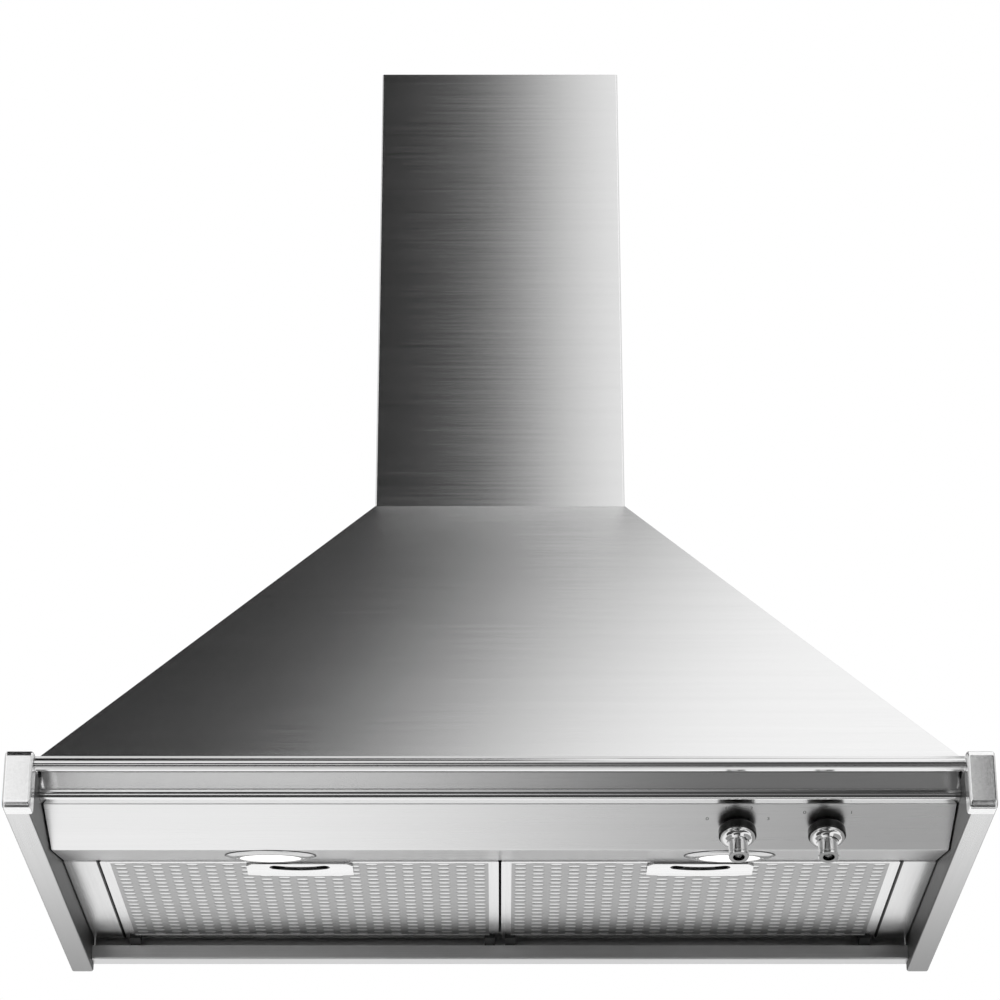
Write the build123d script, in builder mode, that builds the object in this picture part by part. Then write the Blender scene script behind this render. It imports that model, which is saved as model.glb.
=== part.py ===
from build123d import *
from math import cos, hypot, radians, sin, tan
import os

os.makedirs("parts", exist_ok=True)

# Wall-mounted chimney range hood, 900 mm wide, in millimetres.
# The origin is on the wall plane, halfway along the hood and level with the underside of the grease filters.
# +X runs to the right as seen from the front, +Y into the wall and +Z up.

# Driving dimensions: the whole hood
width = 900.0
depth = 530.0
sheet = 1.2  # stainless sheet
seat = 0.3  # gap where one piece is fitted beside another

# Side bars and their end caps
bar_width = 22.6
bar_height = 52.0
bar_wall = 1.5
bar_corner = 2.5
bar_drop = 30.0  # how far the bars hang below the filters
cap_width = 26.0
cap_height = 55.0
cap_depth = 21.0
cap_nose = 7.0  # radius of the caps' rounded front edges
cap_edge = 2.6
plug_depth = 14.0

# Front rail, visor, fascia and the ledge under it
rail_bead = 8.4
rail_setback = 6.5
rail_strip_height = 13.0
rail_strip = 4.0
rail_bead_level = 15.6
visor_front_level = 14.0
visor_rear_level = 32.0
fascia_setback = 70.0
ledge_depth = 23.0
ledge_front_level = 2.7
ledge_rear_level = 5.0
cove_radius = 8.0
bend = 2.0

# Control panel and lamp strip, one folded sheet
panel_run = 71.0
panel_drop = 22.0
strip_run = 87.0
strip_rise = 18.0
flange_height = 13.0
panel_upstand = 22.0
panel_end_gap = 1.6

# Canopy and chimney
canopy_setback = 54.0
canopy_side_inset = 20.0
canopy_foot_level = 34.0
canopy_height = 369.0
canopy_wall = 1.5  # measured level, so that the sloping sheet is about 1.2 thick
collar_rise = 12.0
chimney_width = 260.0
chimney_depth = 229.0
chimney_height = 525.0
chimney_return = 15.0
slide_gap = 0.5
upper_chimney_sink = 18.0  # its top edge lies this far below the lower chimney's
bracket_level = 25.0  # below the upper chimney's top edge
bracket_height = 22.0
bracket_screw_spacing = 160.0
bracket_screw_bore = 6.0

# Rear rail and back panel
rail_depth = 21.0
rear_rail_drop = 22.6
rear_rail_front_height = 14.6
rear_rail_rear_height = 34.6
wall_screw_spacing = 280.0
wall_screw_rise = 220.0
wall_screw_level = 60.0
wall_screw_bore = 8.0

# Lamps
lamp_inset = 229.0  # from the lamp's centre to the hood's side
bezel_radius = 43.0
bezel_height = 3.2
lens_radius = 30.7
lens_thickness = 1.9
lens_seat = 0.6  # the lens's back stands this far out of the strip
lens_lap = 1.0
bezel_edge = 0.8
bezel_round = 4.0
bezel_slope = 9.0
bezel_notch_radius = 2.4
bezel_notch_depth = 1.2
housing_radius = 31.0
housing_depth = 32.0
housing_rim = 3.0
housing_wall = 1.0
housing_taper = 5.0
fit_gap = 0.1
bulb_radius = 5.5
bulb_length = 22.0
bulb_base_step = 2.0
bulb_base_height = 6.0

# Knobs
fan_knob_inset = 227.0  # from the knob's axis to the hood's side
light_knob_inset = 143.0
knob_along_panel = 36.0  # from the panel's front edge, down its slope
knob_length = 35.5
skirt_radius = 17.75
skirt_height = 11.5
skirt_clearance = 0.6
skirt_bore_gap = 3.0
skirt_roof = 5.0
skirt_round_width = 5.0
skirt_round_height = 6.0
boss_wall = 5.0
bell_radius = 16.4
bell_rim = 2.6
stem_radius = 9.2
tip_radius = 9.7
tip_height = 2.4
tip_recess_radius = 5.6
tip_recess_depth = 11.0
tip_flare = 1.0
tip_edge = 0.6
bell_sweep = 6.0
grub_bore = 1.35
grub_height = 19.3
spindle_radius = 3.0
spindle_reach = 22.0
bushing_radius = 4.9
bushing_reach = 3.0
switch_size = 32.0
switch_depth = 20.0
switch_corner = 3.0
running_gap = 0.05

# Grease filters
filter_gap = 2.6  # between the two filters
margin_strip = 35.0  # the strip between a filter and the bar beside it
filter_thickness = 9.5
filter_side_gap = 0.9
filter_front_gap = 0.6
filter_rear_gap = 1.0
frame_wall = 1.2
frame_lip = 1.0
lip_side = 10.0
lip_front = 5.0
lip_rear = 9.0
face_sheet = 0.8
slot_length = 58.0
slot_width = 7.0
slot_pitch_x = 70.8
slot_pitch_y = 18.6
mesh_folds = 22
mesh_sheet = 0.8
handle_length = 104.0
handle_depth = 34.0
handle_sheet = 2.0
handle_bulge = 4.0
handle_chamfer = 6.0
handle_inset = 2.0
finger_slot_length = 59.0
finger_slot_width = 11.0
finger_slot_sag = 4.0
finger_slot_setback = 10.2
cup_length = 70.0
cup_depth = 24.0
cup_height = 8.0
cup_setback = 4.0
latch_width = 32.0
latch_sheet = 3.0
latch_level = 3.0
latch_throw = 6.0
latch_engagement = 5.3
latch_tab = 2.3
latch_chamfer = 3.0
post_gap = 1.5
post_sheet = 1.6
post_width = 6.0
spring_radius = 1.5
spring_wire = 0.3
spring_turns = 4
spring_seat = 0.2
spring_window_width = 8.0
spring_window_wall = 1.0
lug_width = 11.0
lug_inset = 4.0
lug_length = 10.0
lug_slope = 30.0  # degrees
hook_drop = 6.0
hook_width = 4.0

# Blower
fan_axis_y = -194.5
fan_axis_z = 165.0
scroll_start = 88.0
scroll_growth = 14.0
scroll_width = 120.0
scroll_wall = 1.5
outlet_front = 30.0
outlet_level = 300.0
outlet_flange = 15.0
inlet_radius = 66.0
inlet_flange = 12.0
inlet_lip = 5.0
throat_radius = 58.0
throat_depth = 6.0
throat_round = 4.0
impeller_radius = 80.0
impeller_width = 100.0
impeller_ring = 14.0
impeller_plate = 2.0
blade_count = 24
blade_sheet = 1.0
blade_bow = 4.0
blade_lead = 1.5
blade_margin = 0.5
hub_radius = 14.0
hub_length = 20.0
press_gap = 0.01
shaft_radius = 4.0
motor_radius = 36.0
motor_length = 46.0
motor_edge = 3.0
motor_nose = 3.0
motor_nose_wall = 5.0
motor_seat_width = 2.0
arm_width = 18.0
arm_lap = 3.0
spider_lip = 4.0
shaft_inset = 6.0
lower_bracket_depth = 90.0  # below the outlet
upper_bracket_depth = 30.0
bracket_ear = 20.0
bracket_width = 80.0
duct_radius = 75.0
duct_wall = 1.5
duct_height = 85.0
duct_flange = 9.0
flap_level = 40.0  # above the foot of the duct collar
flap_sheet = 1.0
flap_gap = 0.8
flap_pin_radius = 2.0
knuckle_radius = 3.3
flap_parting = 0.2
stop_ledge = 3.0

# Electrical box on the back panel
box_width = 80.0
box_height = 60.0
box_depth = 36.0
box_place_x = 98.0
box_level = 90.0
box_wall = 2.0
gland_radius = 8.0
gland_bore = 4.5
gland_length = 22.0
gland_nut_step = 3.0
gland_nut_height = 6.0
box_corner = 3.0

# Places worked out from the driving dimensions
half = width / 2
bar_inner = half - bar_width
cap_inner = half - cap_width
inner_span = 2 * (bar_inner - seat)
bar_length = depth - cap_depth
bar_top = bar_height - bar_drop
fascia_y = -depth + fascia_setback
rail_y = -depth + rail_setback
strip_y = rail_y + rail_bead / 2
visor_slope = (visor_rear_level - visor_front_level) / (fascia_y - strip_y - rail_strip)
visor_y = strip_y + rail_strip + seat + sheet * visor_slope
ledge_y = fascia_y + ledge_depth
panel_top = (ledge_y + seat, ledge_rear_level)
panel_fold = (panel_top[0] + panel_run, ledge_rear_level - panel_drop)
strip_end = (panel_fold[0] + strip_run, panel_fold[1] + strip_rise)
foot_x = half - canopy_side_inset
foot_y = -depth + canopy_setback
canopy_top = canopy_foot_level + canopy_height
chimney_top = canopy_top + chimney_height
lamp_x = half - lamp_inset
knob_places = {"fan": half - fan_knob_inset, "light": half - light_knob_inset}
filter_outer = bar_inner - seat - margin_strip - filter_side_gap
filter_width = filter_outer - filter_gap / 2
sides = {"left": -1, "right": 1}


def slope_plane(start, end, along):
    """Plane on a sloping sheet that runs from start to end: its normal points down and out of the hood."""
    run, rise = end[0] - start[0], end[1] - start[1]
    length = hypot(run, rise)
    y, z = start[0] + run * along / length, start[1] + rise * along / length
    return Plane(origin=(0, y, z), x_dir=(1, 0, 0), z_dir=(0, rise / length, -run / length))


def turning_plane(face, x):
    """Plane for a turned profile: local x is the radius and local y the height out of the sheet."""
    centre = face.from_local_coords((x, 0, 0))
    return Plane(origin=centre, x_dir=(1, 0, 0), z_dir=face.x_dir.cross(face.z_dir))


panel_face = slope_plane(panel_top, panel_fold, knob_along_panel)
strip_face = slope_plane(panel_fold, strip_end, hypot(strip_run, strip_rise) / 2)

# Side bars: square tube from the end caps back to the wall
for side, hand in sides.items():
    bar_x = hand * (half - bar_width / 2)
    with BuildPart() as side_bar:
        with BuildSketch(Plane.XZ):
            with Locations((bar_x, bar_height / 2 - bar_drop)):
                RectangleRounded(bar_width, bar_height, bar_corner)
                RectangleRounded(
                    bar_width - 2 * bar_wall,
                    bar_height - 2 * bar_wall,
                    bar_corner - bar_wall,
                    mode=Mode.SUBTRACT,
                )
        extrude(amount=bar_length)
    side_bar.part.label = f"side_bar_{side}"
    export_step(side_bar.part, f"parts/side_bar_{side}.step")

    # End cap: a cast block with rounded nose and a plug that enters the bar
    with BuildPart() as end_cap:
        with BuildSketch(Plane.XZ.offset(bar_length)):
            with Locations((hand * (half - cap_width / 2), cap_height / 2 - bar_drop)):
                Rectangle(cap_width, cap_height)
        extrude(amount=cap_depth)
        front = end_cap.faces().sort_by(Axis.Y)[0]
        fillet(front.edges().filter_by(Axis.X), cap_nose)
        nose = end_cap.faces().sort_by(Axis.Y)[0]
        fillet(end_cap.edges().filter_by(Axis.Y) + nose.edges().filter_by(Axis.Z), cap_edge)
        with BuildSketch(Plane.XZ.offset(bar_length)):
            with Locations((bar_x, bar_height / 2 - bar_drop)):
                Rectangle(
                    bar_width - 2 * (bar_wall + seat), bar_height - 2 * (bar_wall + seat)
                )
        extrude(amount=-plug_depth)
    end_cap.part.label = f"end_cap_{side}"
    export_step(end_cap.part, f"parts/end_cap_{side}.step")

# Front rail: a half-round bead on a strip, between the end caps
with BuildPart() as front_rail:
    with BuildSketch(Plane.YZ):
        with Locations((strip_y + rail_strip / 2, rail_bead_level)):
            Rectangle(rail_strip, rail_strip_height)
        with Locations((strip_y, rail_bead_level)):
            Circle(rail_bead / 2)
    extrude(amount=cap_inner - seat, both=True)
front_rail.part.label = "front_rail"
export_step(front_rail.part, "parts/front_rail.step")

# Visor, fascia and ledge: one folded sheet between the bars, notched round the end caps
with BuildPart() as front_fascia:
    with BuildSketch(Plane.YZ):
        with BuildLine():
            FilletPolyline(
                (visor_y, visor_front_level),
                (fascia_y, visor_rear_level),
                (fascia_y, ledge_front_level),
                (ledge_y, ledge_rear_level),
                radius=[bend + sheet, cove_radius],
            )
            offset(amount=sheet, side=Side.LEFT)
        make_face()
    extrude(amount=inner_span / 2, both=True)
    with Locations((half, -depth + cap_depth / 2, 0), (-half, -depth + cap_depth / 2, 0)):
        Box(2 * (cap_width + seat), cap_depth + 2 * seat, 3 * cap_height, mode=Mode.SUBTRACT)
front_fascia.part.label = "front_fascia"
export_step(front_fascia.part, "parts/front_fascia.step")

# Control panel and lamp strip: one folded sheet with an upstand at the front and a catch flange at the rear
filter_centre = filter_gap / 2 + filter_width / 2
latch_middle = latch_level + latch_sheet / 2
window_plane = Plane.XZ.offset(-strip_end[0])
with BuildPart() as control_panel:
    with BuildSketch(Plane.YZ):
        with BuildLine():
            FilletPolyline(
                (panel_top[0], panel_top[1] + panel_upstand),
                panel_top,
                panel_fold,
                strip_end,
                (strip_end[0], strip_end[1] + flange_height),
                radius=[bend, bend + sheet, bend],
            )
            offset(amount=sheet, side=Side.LEFT)
        make_face()
    extrude(amount=bar_inner - panel_end_gap, both=True)
    with BuildSketch(panel_face):
        with Locations(*[(x, 0) for x in knob_places.values()]):
            Circle(bushing_radius + seat)
    extrude(amount=2 * sheet, both=True, mode=Mode.SUBTRACT)
    with BuildSketch(strip_face):
        with Locations((-lamp_x, 0), (lamp_x, 0)):
            Circle(housing_radius + seat)
    extrude(amount=2 * sheet, both=True, mode=Mode.SUBTRACT)
    with BuildSketch(window_plane):
        with Locations(
            (-filter_centre, latch_middle),
            (filter_centre, latch_middle),
        ):
            Rectangle(latch_width + 4 * seat, latch_sheet + 4 * seat)
    extrude(amount=2 * sheet, both=True, mode=Mode.SUBTRACT)
control_panel.part.label = "control_panel"
export_step(control_panel.part, "parts/control_panel.step")

# Margin plates: the angle strips between the filters and the side bars
filter_front = strip_end[0] + filter_front_gap
filter_rear = -rail_depth - filter_rear_gap
filter_depth = filter_rear - filter_front
filter_middle_y = (filter_front + filter_rear) / 2
margin_inner = filter_outer + filter_side_gap
for side, hand in sides.items():
    with BuildPart() as margin_plate:
        with BuildSketch(Plane.XZ.offset(-filter_rear)):
            with BuildLine():
                FilletPolyline(
                    (hand * margin_inner, filter_thickness),
                    (hand * margin_inner, 0),
                    (hand * (bar_inner - seat), 0),
                    (hand * (bar_inner - seat), bar_top),
                    radius=bend,
                )
                offset(amount=sheet, side=Side.LEFT if hand > 0 else Side.RIGHT)
            make_face()
        extrude(amount=filter_depth)
    margin_plate.part.label = f"margin_plate_{side}"
    export_step(margin_plate.part, f"parts/margin_plate_{side}.step")

# Rear rail: a channel along the wall; its low front wall is the edge that the filters hook on
with BuildPart() as rear_rail:
    with BuildSketch(Plane.YZ):
        with BuildLine():
            FilletPolyline(
                (-rail_depth, rear_rail_front_height - rear_rail_drop),
                (-rail_depth, -rear_rail_drop),
                (0, -rear_rail_drop),
                (0, rear_rail_rear_height - rear_rail_drop),
                radius=bend,
            )
            offset(amount=sheet, side=Side.LEFT)
        make_face()
    extrude(amount=inner_span / 2, both=True)
rear_rail.part.label = "rear_rail"
export_step(rear_rail.part, "parts/rear_rail.step")

# Back panel: closes the canopy at the wall and hangs on four wall screws
back_foot = rear_rail_rear_height - rear_rail_drop + seat
back_top_x = chimney_width / 2 - canopy_wall - seat
back_top = canopy_top - sheet - seat
with BuildPart() as back_panel:
    with BuildSketch(Plane.XZ):
        Polygon(
            (-inner_span / 2, back_foot),
            (inner_span / 2, back_foot),
            (inner_span / 2, canopy_foot_level),
            (back_top_x, back_top),
            (-back_top_x, back_top),
            (-inner_span / 2, canopy_foot_level),
            align=None,
        )
        with Locations((0, wall_screw_level + wall_screw_rise / 2)):
            with GridLocations(wall_screw_spacing, wall_screw_rise, 2, 2):
                Circle(wall_screw_bore / 2, mode=Mode.SUBTRACT)
    extrude(amount=sheet)
back_panel.part.label = "back_panel"
export_step(back_panel.part, "parts/back_panel.step")

# Canopy: a hollow half pyramid, open at the back, with a short hem and a collar for the chimney
visor_rise = sheet * hypot(1, visor_slope) + seat
collar_x = chimney_width / 2 - sheet - seat
collar_front = -chimney_depth + sheet + seat
with BuildPart() as canopy:
    with BuildSketch(Plane.XY.offset(canopy_foot_level)):
        with Locations((0, foot_y / 2)):
            Rectangle(2 * foot_x, -foot_y)
    with BuildSketch(Plane.XY.offset(canopy_top)):
        with Locations((0, -chimney_depth / 2)):
            Rectangle(chimney_width, chimney_depth)
    loft(ruled=True)
    with BuildSketch(Plane.XY.offset(bar_top)):
        with Locations((0, foot_y / 2)):
            Rectangle(2 * foot_x, -foot_y)
    extrude(amount=canopy_foot_level - bar_top)
    with BuildSketch(Plane.XY.offset(canopy_foot_level)):
        with Locations((0, (foot_y + canopy_wall) / 2)):
            Rectangle(2 * (foot_x - canopy_wall), -foot_y - canopy_wall)
    with BuildSketch(Plane.XY.offset(canopy_top)):
        with Locations((0, -(chimney_depth - canopy_wall) / 2)):
            Rectangle(chimney_width - 2 * canopy_wall, chimney_depth - canopy_wall)
    loft(ruled=True, mode=Mode.SUBTRACT)
    with BuildSketch(Plane.XY.offset(bar_top)):
        with Locations((0, (foot_y + canopy_wall) / 2)):
            Rectangle(2 * (foot_x - canopy_wall), -foot_y - canopy_wall)
    extrude(amount=canopy_foot_level - bar_top, mode=Mode.SUBTRACT)
    # a rim folded inwards at the top carries the collar
    with BuildSketch(Plane.XY.offset(canopy_top - sheet)):
        with Locations((0, -(chimney_depth - canopy_wall / 2) / 2)):
            Rectangle(chimney_width - canopy_wall, chimney_depth - canopy_wall / 2)
    extrude(amount=sheet)
    with BuildSketch(Plane.XY.offset(canopy_top)):
        with Locations((0, (collar_front - sheet - seat) / 2)):
            Rectangle(2 * collar_x, -collar_front - sheet - seat)
    extrude(amount=collar_rise)
    with BuildSketch(Plane.XY.offset(canopy_top - sheet)):
        with Locations((0, (collar_front + sheet) / 2)):
            Rectangle(2 * (collar_x - sheet), -collar_front - sheet)
    extrude(amount=sheet + collar_rise, mode=Mode.SUBTRACT)
    # the front hem is cut to the visor's slope
    with BuildSketch(Plane.YZ):
        Polygon(
            (visor_y, bar_top - bar_height),
            (visor_y, visor_front_level + visor_rise),
            (fascia_y, visor_rear_level + visor_rise),
            (fascia_y, bar_top - bar_height),
            align=None,
        )
    extrude(amount=inner_span / 2 + seat, both=True, mode=Mode.SUBTRACT)
canopy.part.label = "canopy"
export_step(canopy.part, "parts/canopy.step")


def chimney_path(outer_x, outer_y, rear_y):
    """Corners of an open channel with two returns along the wall."""
    return [
        (outer_x - chimney_return, rear_y),
        (outer_x, rear_y),
        (outer_x, outer_y),
        (-outer_x, outer_y),
        (-outer_x, rear_y),
        (chimney_return - outer_x, rear_y),
    ]


# Lower chimney stands on the canopy round its collar
with BuildPart() as lower_chimney:
    with BuildSketch(Plane.XY.offset(canopy_top)):
        with BuildLine():
            FilletPolyline(*chimney_path(chimney_width / 2, -chimney_depth, 0), radius=bend)
            offset(amount=sheet, side=Side.RIGHT)
        make_face()
    extrude(amount=chimney_height)
lower_chimney.part.label = "lower_chimney"
export_step(lower_chimney.part, "parts/lower_chimney.step")

# Upper chimney slides inside the lower one and rests on the canopy's collar
upper_x = chimney_width / 2 - sheet - slide_gap
upper_front = -chimney_depth + sheet + slide_gap
upper_rear = -sheet - slide_gap
upper_foot = canopy_top + collar_rise + seat
upper_top = chimney_top - upper_chimney_sink
with BuildPart() as upper_chimney:
    with BuildSketch(Plane.XY.offset(upper_foot)):
        with BuildLine():
            FilletPolyline(*chimney_path(upper_x, upper_front, upper_rear), radius=bend)
            offset(amount=sheet, side=Side.RIGHT)
        make_face()
    extrude(amount=upper_top - upper_foot)
upper_chimney.part.label = "upper_chimney"
export_step(upper_chimney.part, "parts/upper_chimney.step")

# Chimney bracket: a strip with two ears, screwed to the wall inside the upper chimney's top
bracket_half = upper_x - sheet - seat
bracket_y = upper_rear - sheet - seat
with BuildPart() as chimney_bracket:
    with BuildSketch(Plane.XY.offset(upper_top - bracket_level - bracket_height)):
        with BuildLine():
            FilletPolyline(
                (bracket_half, bracket_y - 2 * bracket_height),
                (bracket_half, bracket_y),
                (-bracket_half, bracket_y),
                (-bracket_half, bracket_y - 2 * bracket_height),
                radius=bend,
            )
            offset(amount=sheet, side=Side.LEFT)
        make_face()
    extrude(amount=bracket_height)
    with BuildSketch(Plane.XZ.offset(-bracket_y)):
        with Locations((0, upper_top - bracket_level - bracket_height / 2)):
            with GridLocations(bracket_screw_spacing, 0, 2, 1):
                Circle(bracket_screw_bore / 2)
    extrude(amount=2 * sheet, both=True, mode=Mode.SUBTRACT)
chimney_bracket.part.label = "chimney_bracket"
export_step(chimney_bracket.part, "parts/chimney_bracket.step")

# Lamps: a chrome bezel holds the frosted lens against the rim of a cup with the bulb in it
lens_front = lens_seat + lens_thickness
lens_stop = lens_front + fit_gap
bezel_bore = housing_radius + seat
bezel_window = lens_radius - lens_lap
notch_reach = bezel_window + bezel_notch_radius / 2
rim_top = lens_seat - fit_gap
rim_foot = rim_top - housing_wall
cup_radius = housing_radius - housing_taper
bulb_shoulder = bulb_length - bulb_radius - housing_depth
diagonal = cos(radians(45))
for side, hand in sides.items():
    lamp_plane = turning_plane(strip_face, hand * lamp_x)
    lamp_axis = Axis(lamp_plane.origin, strip_face.z_dir)
    with BuildPart() as lamp_bezel:
        with BuildSketch(lamp_plane):
            with BuildLine():
                Polyline(
                    (bezel_window, bezel_height),
                    (bezel_window, lens_stop),
                    (bezel_bore, lens_stop),
                    (bezel_bore, 0),
                    (bezel_radius, 0),
                    (bezel_radius, bezel_edge),
                )
                ThreePointArc(
                    (bezel_radius, bezel_edge),
                    (bezel_radius - bezel_round, bezel_height - bezel_edge),
                    (bezel_radius - bezel_slope, bezel_height),
                )
                Line((bezel_radius - bezel_slope, bezel_height), (bezel_window, bezel_height))
            make_face()
        revolve(axis=lamp_axis)
        with BuildSketch(strip_face.offset(bezel_height)):
            with Locations(*[(hand * lamp_x + end * notch_reach, 0) for end in (-1, 1)]):
                Circle(bezel_notch_radius)
        extrude(amount=-bezel_notch_depth, mode=Mode.SUBTRACT)
    lamp_bezel.part.label = f"lamp_bezel_{side}"
    export_step(lamp_bezel.part, f"parts/lamp_bezel_{side}.step")

    with BuildPart() as lamp_lens:
        with BuildSketch(lamp_plane):
            with BuildLine():
                Polyline(
                    (0, lens_front),
                    (0, lens_seat),
                    (lens_radius, lens_seat),
                    (lens_radius, lens_front),
                    (0, lens_front),
                )
            make_face()
        revolve(axis=lamp_axis)
    lamp_lens.part.label = f"lamp_lens_{side}"
    export_step(lamp_lens.part, f"parts/lamp_lens_{side}.step")

    with BuildPart() as lamp_housing:
        with BuildSketch(lamp_plane):
            with BuildLine():
                Polyline(
                    (housing_radius - housing_rim, rim_top),
                    (housing_radius - housing_rim, rim_foot),
                    (housing_radius - housing_wall, rim_foot),
                    (cup_radius - housing_wall, -housing_depth),
                    (0, -housing_depth),
                    (0, -housing_depth - housing_wall),
                    (cup_radius, -housing_depth - housing_wall),
                    (housing_radius, rim_foot),
                    (housing_radius, rim_top),
                    (housing_radius - housing_rim, rim_top),
                )
            make_face()
        revolve(axis=lamp_axis)
    lamp_housing.part.label = f"lamp_housing_{side}"
    export_step(lamp_housing.part, f"parts/lamp_housing_{side}.step")

    with BuildPart() as lamp_bulb:
        with BuildSketch(lamp_plane):
            with BuildLine():
                Polyline(
                    (0, -housing_depth),
                    (bulb_radius + bulb_base_step, -housing_depth),
                    (bulb_radius + bulb_base_step, bulb_base_height - housing_depth),
                    (bulb_radius, bulb_base_height - housing_depth),
                    (bulb_radius, bulb_shoulder),
                )
                ThreePointArc(
                    (bulb_radius, bulb_shoulder),
                    (bulb_radius * diagonal, bulb_shoulder + bulb_radius * diagonal),
                    (0, bulb_length - housing_depth),
                )
                Line((0, bulb_length - housing_depth), (0, -housing_depth))
            make_face()
        revolve(axis=lamp_axis)
    lamp_bulb.part.label = f"lamp_bulb_{side}"
    export_step(lamp_bulb.part, f"parts/lamp_bulb_{side}.step")

# Knobs: a black skirt, a chrome body on it, and the spindle of the rotary switch behind the panel
skirt_bore = bushing_radius + skirt_bore_gap
skirt_side = skirt_clearance + skirt_round_height
roof_level = skirt_clearance + skirt_roof
boss_radius = spindle_radius + boss_wall
bell_low = skirt_height + bell_rim
bell_throat = stem_radius + (bell_radius - stem_radius) * (1 - diagonal)
for name, knob_x in knob_places.items():
    knob_plane = turning_plane(panel_face, knob_x)
    knob_axis = Axis(knob_plane.origin, panel_face.z_dir)
    with BuildPart() as knob_skirt:
        with BuildSketch(knob_plane):
            with BuildLine():
                Line((skirt_bore, skirt_clearance), (skirt_radius - skirt_round_width, skirt_clearance))
                ThreePointArc(
                    (skirt_radius - skirt_round_width, skirt_clearance),
                    (
                        skirt_radius - skirt_round_width * (1 - diagonal),
                        skirt_side - skirt_round_height * diagonal,
                    ),
                    (skirt_radius, skirt_side),
                )
                Polyline(
                    (skirt_radius, skirt_side),
                    (skirt_radius, skirt_height),
                    (boss_radius, skirt_height),
                    (boss_radius, roof_level),
                    (skirt_bore, roof_level),
                    (skirt_bore, skirt_clearance),
                )
            make_face()
        revolve(axis=knob_axis)
    knob_skirt.part.label = f"knob_skirt_{name}"
    export_step(knob_skirt.part, f"parts/knob_skirt_{name}.step")

    with BuildPart() as knob_body:
        with BuildSketch(knob_plane):
            with BuildLine():
                Polyline(
                    (0, spindle_reach),
                    (spindle_radius, spindle_reach),
                    (spindle_radius, roof_level + seat),
                    (boss_radius, roof_level + seat),
                    (boss_radius, skirt_height),
                    (bell_radius, skirt_height),
                    (bell_radius, bell_low),
                )
                ThreePointArc(
                    (bell_radius, bell_low),
                    (bell_throat, bell_low + bell_sweep * (1 - diagonal)),
                    (stem_radius, bell_low + bell_sweep),
                )
                Polyline(
                    (stem_radius, bell_low + bell_sweep),
                    (stem_radius, knob_length - tip_height - tip_flare),
                    (tip_radius, knob_length - tip_height),
                    (tip_radius, knob_length - tip_edge),
                    (tip_radius - tip_edge, knob_length),
                    (tip_recess_radius, knob_length),
                    (tip_recess_radius - tip_flare, knob_length - tip_recess_depth),
                    (0, knob_length - tip_recess_depth),
                    (0, spindle_reach),
                )
            make_face()
        revolve(axis=knob_axis)
        grub_foot = panel_face.from_local_coords((knob_x, 0, grub_height))
        with BuildSketch(Plane(origin=grub_foot, x_dir=(1, 0, 0), z_dir=panel_face.y_dir)):
            Circle(grub_bore)
        extrude(amount=bell_radius, mode=Mode.SUBTRACT)
    knob_body.part.label = f"knob_body_{name}"
    export_step(knob_body.part, f"parts/knob_body_{name}.step")

    with BuildPart() as knob_spindle:
        with BuildSketch(panel_face.offset(-switch_depth / 2)):
            with Locations((knob_x, 0)):
                Circle(spindle_radius)
        extrude(amount=spindle_reach + switch_depth / 2)
        with BuildSketch(panel_face.offset(bushing_reach + sheet)):
            with Locations((knob_x, spindle_radius)):
                Rectangle(2 * spindle_radius, spindle_radius)
        extrude(amount=spindle_reach, mode=Mode.SUBTRACT)
    knob_spindle.part.label = f"knob_spindle_{name}"
    export_step(knob_spindle.part, f"parts/knob_spindle_{name}.step")

    with BuildPart() as rotary_switch:
        with BuildSketch(panel_face.offset(-sheet)):
            with Locations((knob_x, 0)):
                RectangleRounded(switch_size, switch_size, switch_corner)
        extrude(amount=-switch_depth)
        with BuildSketch(panel_face.offset(-sheet)):
            with Locations((knob_x, 0)):
                Circle(bushing_radius)
        extrude(amount=sheet + bushing_reach)
        with BuildSketch(panel_face.offset(bushing_reach)):
            with Locations((knob_x, 0)):
                Circle(spindle_radius + running_gap)
        extrude(amount=-bushing_reach - switch_depth / 2 - sheet, mode=Mode.SUBTRACT)
    rotary_switch.part.label = f"rotary_switch_{name}"
    export_step(rotary_switch.part, f"parts/rotary_switch_{name}.step")

# Grease filters: a rolled frame round a slotted face and a corrugated mesh, with a handle and a sprung latch
handle_front = filter_front + handle_inset
slot_end_y = handle_front + finger_slot_setback
cup_front = handle_front + cup_setback
cup_rear = cup_front + cup_depth
cup_middle = (cup_front + cup_rear) / 2
tab_rear = cup_rear - sheet - seat - latch_throw
tab_front = tab_rear - latch_tab
post_front = tab_front - post_gap - post_sheet
latch_tip = filter_front - latch_engagement
spring_window_front = cup_front + sheet + spring_window_wall
spring_length = post_front - spring_window_front - 2 * (spring_wire + spring_seat)
hinge_y = -rail_depth + sheet / 2
hinge_z = rear_rail_front_height - rear_rail_drop - sheet / 2
pocket_width = filter_width - 2 * frame_wall - 2 * seat
pocket_depth = filter_depth - 2 * frame_wall - 2 * seat
window_width = filter_width - 2 * lip_side
window_depth = filter_depth - lip_front - lip_rear
window_y = filter_middle_y + (lip_front - lip_rear) / 2
face_top = frame_lip + face_sheet
mesh_top = filter_thickness - seat
slot_columns = int(window_width / slot_pitch_x)
slot_rows = int((window_depth - handle_depth) / slot_pitch_y / 2)
rows_y = handle_front + handle_depth + handle_bulge + slot_rows * slot_pitch_y
fold = (pocket_width - 2 * seat) / (2 * mesh_folds)
valley = face_top + seat
ridge = mesh_top - mesh_sheet
handle_rear = handle_front + handle_depth
slot_reach = (finger_slot_length - finger_slot_width) / 2
hook = sheet / 2 + seat
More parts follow.
